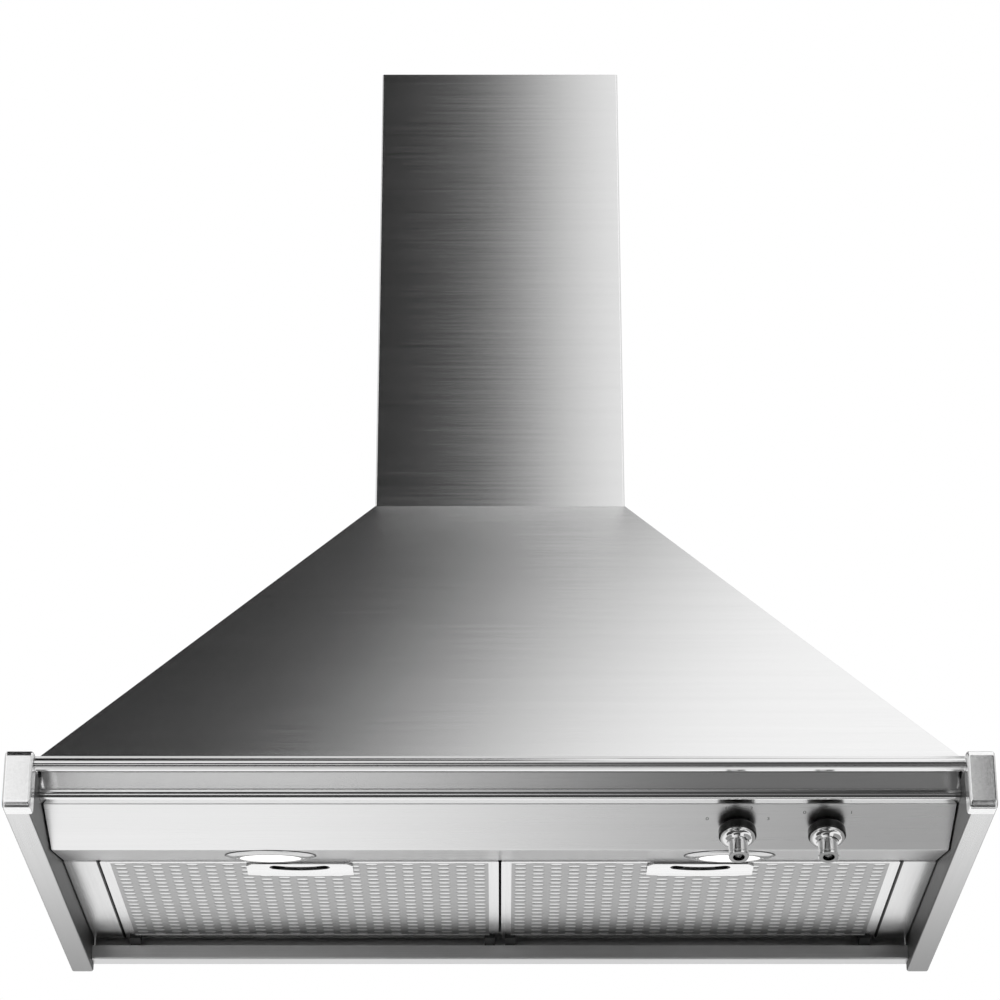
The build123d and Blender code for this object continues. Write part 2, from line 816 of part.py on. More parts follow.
for side, hand in sides.items():
    filter_x = hand * filter_centre
    with BuildPart() as filter_frame:
        with BuildSketch(Plane.XY):
            with Locations((filter_x, filter_middle_y)):
                Rectangle(filter_width, filter_depth)
        extrude(amount=filter_thickness)
        fillet(filter_frame.edges().filter_by(Axis.Z), bend)
        with BuildSketch(Plane.XY.offset(frame_lip)):
            with Locations((filter_x, filter_middle_y)):
                Rectangle(filter_width - 2 * frame_wall, filter_depth - 2 * frame_wall)
        extrude(amount=filter_thickness, mode=Mode.SUBTRACT)
        with BuildSketch(Plane.XY):
            with Locations((filter_x, window_y)):
                Rectangle(window_width, window_depth)
        extrude(amount=filter_thickness, mode=Mode.SUBTRACT)
        with BuildSketch(Plane.XZ.offset(-filter_front)):
            with Locations((filter_x, latch_middle)):
                Rectangle(latch_width + 2 * seat, latch_sheet + 2 * seat)
        extrude(amount=2 * frame_wall, both=True, mode=Mode.SUBTRACT)
    filter_frame.part.label = f"filter_frame_{side}"
    export_step(filter_frame.part, f"parts/filter_frame_{side}.step")

    with BuildPart() as filter_face:
        with BuildSketch(Plane.XY.offset(frame_lip)):
            with Locations((filter_x, filter_middle_y)):
                Rectangle(pocket_width, pocket_depth)
            with Locations((filter_x, cup_middle)):
                Rectangle(cup_length + 2 * seat, cup_depth + 2 * seat, mode=Mode.SUBTRACT)
            for shift_x, shift_y, columns in ((0, 0, slot_columns), (0.5, 0.5, slot_columns - 1)):
                with Locations((filter_x, rows_y + shift_y * slot_pitch_y - slot_pitch_y / 4)):
                    with GridLocations(slot_pitch_x, slot_pitch_y, columns, 2 * slot_rows - 1):
                        Rectangle(slot_length, slot_width / 2, mode=Mode.SUBTRACT)
        extrude(amount=face_sheet)
    filter_face.part.label = f"filter_face_{side}"
    export_step(filter_face.part, f"parts/filter_face_{side}.step")

    with BuildPart() as filter_mesh:
        zigzag = [
            (filter_x + (i - mesh_folds) * fold, ridge if i % 2 else valley)
            for i in range(2 * mesh_folds + 1)
        ]
        with BuildSketch(Plane.XZ.offset(-filter_rear + frame_wall + seat)):
            with BuildLine():
                lower = Polyline(*zigzag)
                upper = Polyline(*[(x, z + mesh_sheet) for x, z in zigzag])
                Line(lower @ 0, upper @ 0)
                Line(lower @ 1, upper @ 1)
            make_face()
        extrude(amount=pocket_depth)
        with Locations((filter_x, (filter_front + cup_rear) / 2, filter_thickness / 2)):
            Box(
                cup_length + 4 * seat,
                cup_rear - filter_front + 4 * seat,
                2 * filter_thickness,
                mode=Mode.SUBTRACT,
            )
    filter_mesh.part.label = f"filter_mesh_{side}"
    export_step(filter_mesh.part, f"parts/filter_mesh_{side}.step")

    # Handle: a plate with a curved finger slot and a cup behind it
    with BuildPart() as filter_handle:
        with BuildSketch(Plane.XY.offset(-handle_sheet)):
            with BuildLine():
                left_x = filter_x - handle_length / 2
                right_x = filter_x + handle_length / 2
                Polyline(
                    (right_x, handle_rear),
                    (right_x, handle_front + handle_chamfer),
                    (right_x - handle_chamfer, handle_front),
                    (left_x + handle_chamfer, handle_front),
                    (left_x, handle_front + handle_chamfer),
                    (left_x, handle_rear),
                )
                ThreePointArc(
                    (left_x, handle_rear), (filter_x, handle_rear + handle_bulge), (right_x, handle_rear)
                )
            make_face()
        extrude(amount=handle_sheet)
        with BuildSketch(Plane.XY):
            with Locations((filter_x, cup_middle)):
                Rectangle(cup_length, cup_depth)
        extrude(amount=cup_height)
        with BuildSketch(Plane.XY):
            with Locations((filter_x, cup_middle)):
                Rectangle(cup_length - 2 * sheet, cup_depth - 2 * sheet)
        extrude(amount=cup_height - sheet, mode=Mode.SUBTRACT)
        with BuildSketch(Plane.XY):
            with BuildLine():
                slot_line = ThreePointArc(
                    (filter_x - slot_reach, slot_end_y),
                    (filter_x, slot_end_y + finger_slot_sag),
                    (filter_x + slot_reach, slot_end_y),
                )
            SlotArc(slot_line, finger_slot_width)
        extrude(amount=-handle_sheet, mode=Mode.SUBTRACT)
        with BuildSketch(Plane.XZ.offset(-cup_front)):
            with Locations((filter_x, latch_middle)):
                Rectangle(latch_width + 2 * seat, latch_sheet + 2 * seat)
        extrude(amount=2 * sheet, both=True, mode=Mode.SUBTRACT)
        with Locations((filter_x, post_front, cup_height - sheet)):
            Box(
                post_width,
                post_sheet,
                cup_height - sheet - latch_level,
                align=(Align.CENTER, Align.MIN, Align.MAX),
            )
    filter_handle.part.label = f"filter_handle_{side}"
    export_step(filter_handle.part, f"parts/filter_handle_{side}.step")

    # Latch: a slider whose tongue passes through the frame into the catch flange
    with BuildPart() as filter_latch:
        with BuildSketch(Plane.XY.offset(latch_level)):
            with BuildLine():
                Polyline(
                    (filter_x - latch_width / 2, tab_rear),
                    (filter_x - latch_width / 2, latch_tip + latch_chamfer),
                    (filter_x - latch_width / 2 + latch_chamfer, latch_tip),
                    (filter_x + latch_width / 2 - latch_chamfer, latch_tip),
                    (filter_x + latch_width / 2, latch_tip + latch_chamfer),
                    (filter_x + latch_width / 2, tab_rear),
                    (filter_x - latch_width / 2, tab_rear),
                )
            make_face()
            with Locations((filter_x, (spring_window_front + tab_front) / 2)):
                Rectangle(
                    spring_window_width, tab_front - spring_window_front, mode=Mode.SUBTRACT
                )
        extrude(amount=latch_sheet)
        with Locations((filter_x, tab_rear, latch_level)):
            Box(
                latch_width,
                latch_tab,
                latch_level - seat,
                align=(Align.CENTER, Align.MAX, Align.MAX),
            )
    filter_latch.part.label = f"filter_latch_{side}"
    export_step(filter_latch.part, f"parts/filter_latch_{side}.step")

    # Latch spring: pushes the slider forwards from the post in the cup
    spring_foot = (filter_x, spring_window_front + spring_wire + spring_seat, latch_middle)
    with BuildPart() as latch_spring:
        with BuildLine():
            coil = Helix(
                pitch=spring_length / spring_turns,
                height=spring_length,
                radius=spring_radius,
                center=spring_foot,
                direction=(0, 1, 0),
            )
        with BuildSketch(Plane(origin=coil @ 0, z_dir=coil % 0)):
            RegularPolygon(spring_wire, 6)
        sweep(path=coil, is_frenet=True)
    latch_spring.part.label = f"latch_spring_{side}"
    export_step(latch_spring.part, f"parts/latch_spring_{side}.step")

    # Rear lugs: hooks that drop behind the rear rail's front wall, on which the filter swings
    with BuildPart() as filter_lugs:
        for lug_x in (
            hand * (filter_gap / 2 + lug_inset + lug_width / 2),
            hand * (filter_outer - lug_inset - lug_width / 2),
        ):
            with BuildSketch(Plane.YZ.offset(lug_x)):
                Polygon(
                    (hinge_y - lug_length, 0),
                    (hinge_y - lug_length, hinge_z + lug_length * tan(radians(lug_slope))),
                    (hinge_y, hinge_z),
                    (hinge_y + hook, hinge_z),
                    (hinge_y + hook, hinge_z - hook_drop),
                    (hinge_y + hook + hook_width, hinge_z - hook_drop),
                    (hinge_y + hook + hook_width, 0),
                    align=None,
                )
                with Locations((hinge_y, hinge_z)):
                    Circle(hook + seat, mode=Mode.SUBTRACT)
            extrude(amount=lug_width / 2, both=True)
    filter_lugs.part.label = f"filter_lugs_{side}"
    export_step(filter_lugs.part, f"parts/filter_lugs_{side}.step")

# Blower housing: a scroll of three quarter turns whose radius grows, opening upwards
fan_plane = Plane(origin=(0, fan_axis_y, fan_axis_z), x_dir=(0, 1, 0), z_dir=(1, 0, 0))
second = scroll_start + scroll_growth
third = second + scroll_growth
outlet_rear = scroll_growth + third
outlet_rise = outlet_level - fan_axis_z


def scroll_outline(inset, top):
    """The scroll's outline, drawn in by inset."""
    with BuildSketch(mode=Mode.PRIVATE) as outline:
        with BuildLine():
            CenterArc((0, 0), scroll_start - inset, 90, 90)
            CenterArc((scroll_growth, 0), second - inset, 180, 90)
            CenterArc((scroll_growth, scroll_growth), third - inset, 270, 90)
            Polyline(
                (outlet_rear - inset, scroll_growth),
                (outlet_rear - inset, top),
                (outlet_front + inset, top),
                (outlet_front + inset, scroll_start - inset),
                (0, scroll_start - inset),
            )
        make_face()
    return outline.sketch_local


with BuildPart() as blower_housing:
    with BuildSketch(fan_plane):
        add(scroll_outline(0, outlet_rise))
    extrude(amount=scroll_width / 2, both=True)
    with BuildSketch(Plane.XY.offset(outlet_level)):
        with Locations((0, fan_axis_y + (outlet_front + outlet_rear) / 2)):
            Rectangle(scroll_width + 2 * outlet_flange, outlet_rear - outlet_front + 2 * outlet_flange)
    extrude(amount=-scroll_wall)
    with BuildSketch(fan_plane):
        add(scroll_outline(scroll_wall, outlet_rise + scroll_wall))
    extrude(amount=scroll_width / 2 - scroll_wall, both=True, mode=Mode.SUBTRACT)
    with BuildSketch(fan_plane):
        Circle(inlet_radius)
    extrude(amount=scroll_width, both=True, mode=Mode.SUBTRACT)
blower_housing.part.label = "blower_housing"
export_step(blower_housing.part, "parts/blower_housing.step")

# Inlet ring: a bell mouth on the right-hand side of the scroll
with BuildPart() as inlet_ring:
    with BuildSketch(Plane(origin=fan_plane.origin, x_dir=(1, 0, 0), z_dir=(0, -1, 0))):
        with BuildLine():
            FilletPolyline(
                (scroll_width / 2, inlet_radius + inlet_flange),
                (scroll_width / 2, inlet_radius - inlet_lip),
                (scroll_width / 2 - throat_depth, throat_radius),
                radius=throat_round,
            )
            offset(amount=sheet, side=Side.LEFT)
        make_face()
    revolve(axis=Axis(fan_plane.origin, (1, 0, 0)))
inlet_ring.part.label = "inlet_ring"
export_step(inlet_ring.part, "parts/inlet_ring.step")

# Motor bracket: a three-armed spider on the left-hand side of the scroll
with BuildPart() as motor_bracket:
    with BuildSketch(fan_plane.offset(-scroll_width / 2 - 2 * sheet)):
        Circle(inlet_radius + inlet_flange)
        Circle(inlet_radius - spider_lip, mode=Mode.SUBTRACT)
        Circle(motor_radius)
        with PolarLocations((motor_radius + inlet_radius) / 2, 3, start_angle=90):
            Rectangle(inlet_radius - motor_radius + 2 * arm_lap, arm_width)
        Circle(2 * shaft_radius, mode=Mode.SUBTRACT)
    extrude(amount=2 * sheet)
motor_bracket.part.label = "motor_bracket"
export_step(motor_bracket.part, "parts/motor_bracket.step")

# Fan motor: hangs from the spider inside the impeller
motor_foot = -scroll_width / 2
with BuildPart() as fan_motor:
    with BuildSketch(fan_plane.offset(motor_foot)):
        Circle(motor_radius - motor_seat_width)
    extrude(amount=motor_length)
    fillet(fan_motor.edges().filter_by(GeomType.CIRCLE), motor_edge)
    with BuildSketch(fan_plane.offset(motor_foot + motor_length)):
        Circle(shaft_radius + motor_nose_wall)
    extrude(amount=motor_nose)
    with BuildSketch(fan_plane.offset(motor_foot)):
        Circle(shaft_radius + running_gap)
    extrude(amount=motor_length + motor_nose, mode=Mode.SUBTRACT)
fan_motor.part.label = "fan_motor"
export_step(fan_motor.part, "parts/fan_motor.step")

# Impeller: a centre plate with a hub, and an end ring on each side
blade_root = impeller_radius - impeller_ring
blade_middle = (blade_root + impeller_radius) / 2
with BuildPart() as impeller:
    with BuildSketch(fan_plane):
        Circle(blade_root + blade_margin - press_gap)
        Circle(shaft_radius + press_gap, mode=Mode.SUBTRACT)
    extrude(amount=impeller_plate / 2, both=True)
    with BuildSketch(fan_plane):
        Circle(hub_radius)
        Circle(shaft_radius + press_gap, mode=Mode.SUBTRACT)
    extrude(amount=hub_length)
    for end in (-1, 1):
        with BuildSketch(fan_plane.offset(end * impeller_width / 2)):
            Circle(impeller_radius)
            Circle(blade_root, mode=Mode.SUBTRACT)
        extrude(amount=-end * impeller_plate)
impeller.part.label = "impeller"
export_step(impeller.part, "parts/impeller.step")

# Impeller blades: forward-curved strips from ring to ring, held on the centre plate's rim
blade_half = impeller_width / 2 - impeller_plate - press_gap
with BuildPart() as impeller_blades:
    with BuildSketch(fan_plane):
        with BuildLine():
            outer_face = ThreePointArc(
                (blade_root + blade_margin, 0),
                (blade_middle, -blade_bow),
                (impeller_radius - blade_margin, blade_lead),
            )
            inner_face = ThreePointArc(
                (blade_root + blade_margin, blade_sheet),
                (blade_middle, blade_sheet - blade_bow),
                (impeller_radius - blade_margin, blade_lead + blade_sheet),
            )
            Line(outer_face @ 0, inner_face @ 0)
            Line(outer_face @ 1, inner_face @ 1)
        blade = make_face()
        with PolarLocations(0, blade_count):
            add(blade)
    extrude(amount=blade_half, both=True)
impeller_blades.part.label = "impeller_blades"
export_step(impeller_blades.part, "parts/impeller_blades.step")

with BuildPart() as fan_shaft:
    with BuildSketch(fan_plane.offset(motor_foot + shaft_inset)):
        Circle(shaft_radius)
    extrude(amount=hub_length - motor_foot)
fan_shaft.part.label = "fan_shaft"
export_step(fan_shaft.part, "parts/fan_shaft.step")

# Blower brackets: two folded strips that hold the scroll's outlet to the back panel
scroll_rear_y = fan_axis_y + outlet_rear
with BuildPart() as blower_brackets:
    for level in (outlet_level - lower_bracket_depth, outlet_level - upper_bracket_depth):
        with BuildSketch(Plane.YZ):
            with BuildLine():
                FilletPolyline(
                    (-sheet, level + bracket_ear),
                    (-sheet, level),
                    (scroll_rear_y + sheet, level),
                    (scroll_rear_y + sheet, level - bracket_ear),
                    radius=bend,
                )
                offset(amount=sheet, side=Side.RIGHT)
            make_face()
        extrude(amount=bracket_width / 2, both=True)
blower_brackets.part.label = "blower_brackets"
export_step(blower_brackets.part, "parts/blower_brackets.step")

# Duct collar: a round spigot on a flange, with a ledge that stops the two flaps
duct_y = fan_axis_y + (outlet_front + outlet_rear) / 2
duct_bore = duct_radius - duct_wall
with BuildPart() as duct_collar:
    with BuildSketch(Plane.XY.offset(outlet_level)):
        with Locations((0, duct_y)):
            Circle(duct_radius + duct_flange)
            Circle(duct_bore, mode=Mode.SUBTRACT)
    extrude(amount=sheet)
    with BuildSketch(Plane.XY.offset(outlet_level)):
        with Locations((0, duct_y)):
            Circle(duct_radius)
            Circle(duct_bore, mode=Mode.SUBTRACT)
    extrude(amount=duct_height)
    with BuildSketch(Plane.XY.offset(outlet_level + flap_level - flap_sheet / 2 - seat)):
        with Locations((0, duct_y)):
            Circle(duct_radius)
            Circle(duct_bore - stop_ledge, mode=Mode.SUBTRACT)
    extrude(amount=-stop_ledge)
    with BuildSketch(Plane.XZ.offset(-duct_y)):
        with Locations((0, outlet_level + flap_level)):
            Circle(flap_pin_radius + running_gap)
    extrude(amount=2 * duct_radius, both=True, mode=Mode.SUBTRACT)
duct_collar.part.label = "duct_collar"
export_step(duct_collar.part, "parts/duct_collar.step")

# Flap pin and the two half-round flaps that hang on it
pin_level = outlet_level + flap_level
pin_length = 2 * duct_radius - seat
with BuildPart() as flap_pin:
    with BuildSketch(Plane.XZ.offset(-duct_y)):
        with Locations((0, pin_level)):
            Circle(flap_pin_radius)
    extrude(amount=pin_length / 2, both=True)
flap_pin.part.label = "flap_pin"
export_step(flap_pin.part, "parts/flap_pin.step")

flap_radius = duct_bore - flap_gap
knuckle_span = flap_radius / 3
for side, hand in sides.items():
    knuckles = (-2, 0, 2) if side == "left" else (-1, 1)
    others = (-1, 1) if side == "left" else (-2, 0, 2)
    with BuildPart() as flap:
        with BuildSketch(Plane.XY.offset(pin_level - flap_sheet / 2)):
            with Locations((0, duct_y)):
                Circle(flap_radius)
            with Locations((-hand * (duct_radius - flap_parting), duct_y)):
                Rectangle(2 * duct_radius, 3 * duct_radius, mode=Mode.SUBTRACT)
            with Locations(*[(0, duct_y + k * knuckle_span) for k in others]):
                Rectangle(2 * (knuckle_radius + seat), knuckle_span, mode=Mode.SUBTRACT)
        extrude(amount=flap_sheet)
        for k in knuckles:
            with BuildSketch(Plane.XZ.offset(-duct_y - k * knuckle_span)):
                with Locations((0, pin_level)):
                    Circle(knuckle_radius)
            extrude(amount=knuckle_span / 2 - seat, both=True)
        with BuildSketch(Plane.XZ.offset(-duct_y)):
            with Locations((0, pin_level)):
                Circle(flap_pin_radius + running_gap)
        extrude(amount=duct_radius, both=True, mode=Mode.SUBTRACT)
    flap.part.label = f"flap_{side}"
    export_step(flap.part, f"parts/flap_{side}.step")

# Terminal box on the back panel, with a gland for the supply lead in its top
with BuildPart() as terminal_box:
    with Locations((box_place_x, -sheet, box_level)):
        Box(box_width, box_depth, box_height, align=(Align.CENTER, Align.MAX, Align.MIN))
    fillet(terminal_box.edges().filter_by(Axis.Z), box_corner)
    with Locations((box_place_x, -sheet, box_level + box_wall)):
        Box(
            box_width - 2 * box_wall,
            box_depth - box_wall,
            box_height - 2 * box_wall,
            align=(Align.CENTER, Align.MAX, Align.MIN),
            mode=Mode.SUBTRACT,
        )
    with BuildSketch(Plane.XY.offset(box_level + box_height)):
        with Locations((box_place_x, -sheet - box_depth / 2)):
            Circle(gland_radius)
    extrude(amount=-2 * box_wall, mode=Mode.SUBTRACT)
terminal_box.part.label = "terminal_box"
export_step(terminal_box.part, "parts/terminal_box.step")

with BuildPart() as cable_gland:
    with BuildSketch(Plane.XY.offset(box_level + box_height - box_wall)):
        with Locations((box_place_x, -sheet - box_depth / 2)):
            Circle(gland_radius - seat)
    extrude(amount=gland_length)
    with BuildSketch(Plane.XY.offset(box_level + box_height)):
        with Locations((box_place_x, -sheet - box_depth / 2)):
            RegularPolygon(gland_radius + gland_nut_step, 6)
    extrude(amount=gland_nut_height)
    with BuildSketch(Plane.XY.offset(box_level + box_height - box_wall)):
        with Locations((box_place_x, -sheet - box_depth / 2)):
            Circle(gland_bore)
    extrude(amount=gland_length, mode=Mode.SUBTRACT)
cable_gland.part.label = "cable_gland"
export_step(cable_gland.part, "parts/cable_gland.step")
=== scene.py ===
from math import pi, radians

import bmesh
import bpy
import numpy as np
from mathutils import Matrix, Vector


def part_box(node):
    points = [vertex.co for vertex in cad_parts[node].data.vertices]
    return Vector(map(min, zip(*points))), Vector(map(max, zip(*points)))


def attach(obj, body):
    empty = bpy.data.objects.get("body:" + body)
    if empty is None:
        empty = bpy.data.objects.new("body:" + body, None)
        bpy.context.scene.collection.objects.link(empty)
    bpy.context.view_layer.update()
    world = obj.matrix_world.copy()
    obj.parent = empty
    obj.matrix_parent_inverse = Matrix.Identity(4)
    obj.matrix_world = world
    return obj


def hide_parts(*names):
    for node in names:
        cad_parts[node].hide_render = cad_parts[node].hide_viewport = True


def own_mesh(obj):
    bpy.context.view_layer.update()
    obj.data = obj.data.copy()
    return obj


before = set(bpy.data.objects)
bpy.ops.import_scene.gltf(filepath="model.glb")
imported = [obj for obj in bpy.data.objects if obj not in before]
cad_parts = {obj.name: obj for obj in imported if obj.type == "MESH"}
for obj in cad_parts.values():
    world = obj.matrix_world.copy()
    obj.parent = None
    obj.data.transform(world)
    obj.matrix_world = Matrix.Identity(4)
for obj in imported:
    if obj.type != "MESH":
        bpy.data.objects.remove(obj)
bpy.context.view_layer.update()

# Looks of a wall-mounted chimney hood. Lengths are in metres: +X to the right, +Y into the wall, +Z up.
sides = {"left": -1, "right": 1}
knobs = ("fan", "light")
mm = 0.001
print("frame loaded")


# Shader maths: a Wire holds one output of a node, and an expression on wires adds the Math nodes it needs
class Wire:
    def __init__(self, tree, output=None):
        self.tree = tree
        self.output = output

    def node(self, kind, settings, sockets, output=0):
        # any node: its type, what is set first, then its sockets
        made = self.tree.nodes.new("ShaderNode" + kind)
        for name, value in settings.items():
            setattr(made, name, value)
        for name, value in sockets.items():
            if isinstance(value, Wire):
                self.tree.links.new(value.output, made.inputs[name])
            else:
                made.inputs[name].default_value = value
        return Wire(self.tree, made.outputs[output]) if len(made.outputs) else made

    def maths(self, operation, first, second):
        return self.node("Math", {"operation": operation}, {0: first, 1: second})

    def __add__(self, other):
        return self.maths("ADD", self, other)

    def __sub__(self, other):
        return self.maths("SUBTRACT", self, other)

    def __rsub__(self, other):
        return self.maths("SUBTRACT", other, self)

    def __mul__(self, other):
        return self.maths("MULTIPLY", self, other)

    def __truediv__(self, other):
        return self.maths("DIVIDE", self, other)

    def __rtruediv__(self, other):
        return self.maths("DIVIDE", other, self)

    __radd__ = __add__
    __rmul__ = __mul__

    def between(self, low, high):  # smooth step from 0 at low to 1 at high
        return self.node(
            "MapRange",
            {"interpolation_type": "SMOOTHSTEP"},
            {"Value": self, "From Min": low, "From Max": high},
        )

    def mix(self, dark, light):  # a colour between dark and light, by this value
        return self.node(
            "Mix", {"data_type": "RGBA"}, {0: self, 6: dark, 7: light}, output=2
        )


def grey(value, warmth=0.0):
    return (value * (1 + warmth), value, value * (1 - warmth), 1)


def newMaterial(name):
    material = bpy.data.materials.new(name)
    material.use_nodes = True
    material.node_tree.nodes.clear()
    return material, Wire(material.node_tree)


def closeMaterial(material, wire, sockets):
    surface = wire.node("BsdfPrincipled", {}, sockets)
    wire.node("OutputMaterial", {}, {"Surface": surface})
    return material


def objectPlace(wire, scale=(1, 1, 1)):
    place = wire.node("TexCoord", {}, {}, output="Object")
    return wire.node("Mapping", {}, {"Vector": place, "Scale": scale})


def alongAxis(wire, axis):  # one coordinate of the object, in metres
    place = wire.node("TexCoord", {}, {}, output="Object")
    return wire.node("SeparateXYZ", {}, {"Vector": place}, output=axis)


def noise(wire, place, scale, detail=2.0, roughness=0.5):
    return wire.node(
        "TexNoise", {}, {"Vector": place, "Scale": scale, "Detail": detail, "Roughness": roughness}
    )


# Brushed steel: noise drawn out along the grain gives fine scratches and wider bands, and a slow cloud gives
# the smears of wiping. The scratches tilt the normal across the grain, which draws reflections out that way.
# Each part with painted shade is told apart by its place along one axis, and there the colour is darkened to
# that part's grey.
def brushedSteel(name, grain, shade, roughness, scratch, contrast, paintedShade):
    material, wire = newMaterial(name)
    fine = noise(wire, objectPlace(wire, grain), 1.0, 3.0, 0.6)
    bands = noise(wire, objectPlace(wire, tuple(0.12 * g for g in grain)), 1.0, 2.0)
    cloud = noise(wire, objectPlace(wire), 7.0, 3.0)
    tone = fine * 0.5 + bands * 0.3 + cloud * 0.2
    darkest = shade * (1 - 0.07 * contrast)
    lightest = min(1.0, shade * (1 + 0.05 * contrast))
    colour = tone.between(0.3, 0.7).mix(grey(darkest), grey(lightest))
    sheen = roughness + (fine - 0.5) * 0.10 + (cloud - 0.5) * 0.03
    # painted shade: each listed part darkens the colour to its own grey over its run
    for part in paintedShade:
        along = alongAxis(wire, part["axis"])
        if part["bothSides"]:
            along = along.maths("ABSOLUTE", along, 0.0)
        mask = along.between(*part["run"])
        colour = mask.mix(colour, grey(part["shade"]))
        sheen = sheen + mask * 0.15
    bump = wire.node("Bump", {}, {"Strength": 0.8 * scratch, "Distance": 0.00012, "Height": fine})
    return closeMaterial(
        material,
        wire,
        {"Base Color": colour, "Metallic": 1.0, "Roughness": sheen, "Normal": bump},
    )


# Galvanised sheet: cells of zinc, each with its own tone, under a light film
def galvanisedSheet(name):
    material, wire = newMaterial(name)
    cells = wire.node(
        "TexVoronoi", {}, {"Vector": objectPlace(wire), "Scale": 130.0}, output="Color"
    )
    tone = wire.node("RGBToBW", {}, {"Color": cells})
    film = noise(wire, objectPlace(wire), 18.0, 4.0)
    colour = (tone * 0.6 + film * 0.4).mix(grey(0.40, -0.02), grey(0.60, -0.02))
    bump = wire.node("Bump", {}, {"Strength": 0.3, "Distance": 0.0002, "Height": film})
    return closeMaterial(
        material,
        wire,
        {"Base Color": colour, "Metallic": 0.9, "Roughness": 0.38 + tone * 0.14, "Normal": bump},
    )


# Chrome: nearly a mirror, with a faint smear and the odd fine mark
def chromePlate(name):
    material, wire = newMaterial(name)
    smear = noise(wire, objectPlace(wire), 60.0, 3.0)
    marks = noise(wire, objectPlace(wire, (90, 90, 1500)), 1.0, 2.0)
    colour = smear.mix(grey(0.74), grey(0.86))
    bump = wire.node("Bump", {}, {"Strength": 0.1, "Distance": 0.00004, "Height": marks})
    return closeMaterial(
        material,
        wire,
        {"Base Color": colour, "Metallic": 1.0, "Roughness": 0.05 + smear * 0.06, "Normal": bump},
    )


# Moulded black plastic: a fine spark-eroded grain and a little dust
def blackPlastic(name, roughness):
    material, wire = newMaterial(name)
    grain = noise(wire, objectPlace(wire), 2600.0, 2.0)
    dust = noise(wire, objectPlace(wire), 90.0, 4.0)
    colour = dust.between(0.45, 0.8).mix(grey(0.010), grey(0.022))
    bump = wire.node("Bump", {}, {"Strength": 0.25, "Distance": 0.00005, "Height": grain})
    return closeMaterial(
        material,
        wire,
        {
            "Base Color": colour,
            "Roughness": roughness + (grain - 0.5) * 0.12,
            "Specular IOR Level": 0.2,
            "Normal": bump,
        },
    )


# Lit frosted lens: it glows most in the middle and falls off to its rim
def frostedLens(name, centre, radius):
    material, wire = newMaterial(name)
    place = wire.node("TexCoord", {}, {}, output="Object")
    away = wire.node("VectorMath", {"operation": "DISTANCE"}, {0: place, 1: centre}, output="Value")
    frost = noise(wire, objectPlace(wire), 1500.0, 2.0)
    glow = (away / radius).between(1.15, 0.55)
    colour = glow.mix(grey(0.62, 0.01), grey(1.0, 0.01))
    return closeMaterial(
        material,
        wire,
        {
            "Base Color": grey(0.82),
            "Roughness": 0.30 + frost * 0.15,
            "Emission Color": colour,
            "Emission Strength": 1.1,
        },
    )


# Plain finish for small turned and drawn parts
def plainMetal(name, shade, roughness, warmth, metallic):
    material, wire = newMaterial(name)
    grain = noise(wire, objectPlace(wire), 400.0, 3.0)
    colour = grain.mix(grey(shade * 0.9, warmth), grey(min(1.0, shade * 1.08), warmth))
    bump = wire.node("Bump", {}, {"Strength": 0.15, "Distance": 0.00008, "Height": grain})
    return closeMaterial(
        material,
        wire,
        {
            "Base Color": colour,
            "Metallic": metallic,
            "Roughness": roughness + (grain - 0.5) * 0.1,
            "Normal": bump,
        },
    )


# Printed marks: satin ink, a little worn
def printedInk(name):
    material, wire = newMaterial(name)
    wear = noise(wire, objectPlace(wire), 900.0, 3.0)
    colour = wear.between(0.35, 0.75).mix(grey(0.06), grey(0.16))
    return closeMaterial(material, wire, {"Base Color": colour, "Roughness": 0.45 + wear * 0.1})


# The grain's scale along x, y and z: a low number is the way that it runs
grains = {
    "level": (7, 7, 950),
    "across": (7, 950, 950),
    "deep": (950, 7, 950),
    "cast": (300, 300, 300),
    "face": (9, 600, 600),
    "rim": (600, 9, 600),
    "plate": (9, 700, 700),
}
# Painted shade on parts of a node: the bars' inner walls and rear ends darkened, a dark stripe on the margin
# plates' inner edges for the shadow in the gap beside the panel, the handles' cups darkened
paintedShadeParts = {
    # painted shade: the bars' inner walls, facing the panel, made dark grey
    "innerWallShade": {"axis": "X", "bothSides": True, "run": (0.4284, 0.4276), "shade": 0.16},
    # painted shade: the bars grow darker towards the rear
    "barRearShade": {"axis": "Y", "bothSides": False, "run": (-0.56, 0.1), "shade": 0.30},
    # painted shadow: a black stripe on the margin plates' inner edges stands in for the shadow in the gap
    # beside the panel
    "panelGapShade": {"axis": "X", "bothSides": True, "run": (0.3946, 0.3942), "shade": 0.012},
    # painted shade: the inside of the handles' finger cups made dark grey
    "fingerCupShade": {"axis": "Z", "bothSides": False, "run": (-0.0007, 0.0004), "shade": 0.05},
}
# Brushed steels: grain, shade, roughness, scratch, contrast and parts with painted shade
steels = {
    "canopySteel": ("level", 0.91, 0.22, 0.12, 0.45, ()),
    "chimneySteel": ("level", 0.91, 0.22, 0.12, 0.45, ()),
    "panelSteel": ("across", 0.90, 0.29, 0.15, 0.4, ()),
    "polishedSteel": ("across", 0.86, 0.12, 0.1, 0.5, ()),
    "railSteel": ("across", 0.72, 0.36, 0.5, 1.0, ()),
    "barSteel": ("deep", 0.72, 0.26, 0.5, 1.0, ("barRearShade", "innerWallShade")),
    "capSteel": ("cast", 0.94, 0.2, 0.25, 1.0, ()),
    "marginSteel": ("deep", 0.78, 0.24, 0.5, 1.0, ("panelGapShade",)),
    "filterSteel": ("face", 0.42, 0.32, 0.5, 1.0, ()),
    "filterRim": ("rim", 0.84, 0.25, 0.4, 1.0, ()),
    "handleSteel": ("plate", 0.92, 0.18, 0.3, 1.0, ("fingerCupShade",)),
}
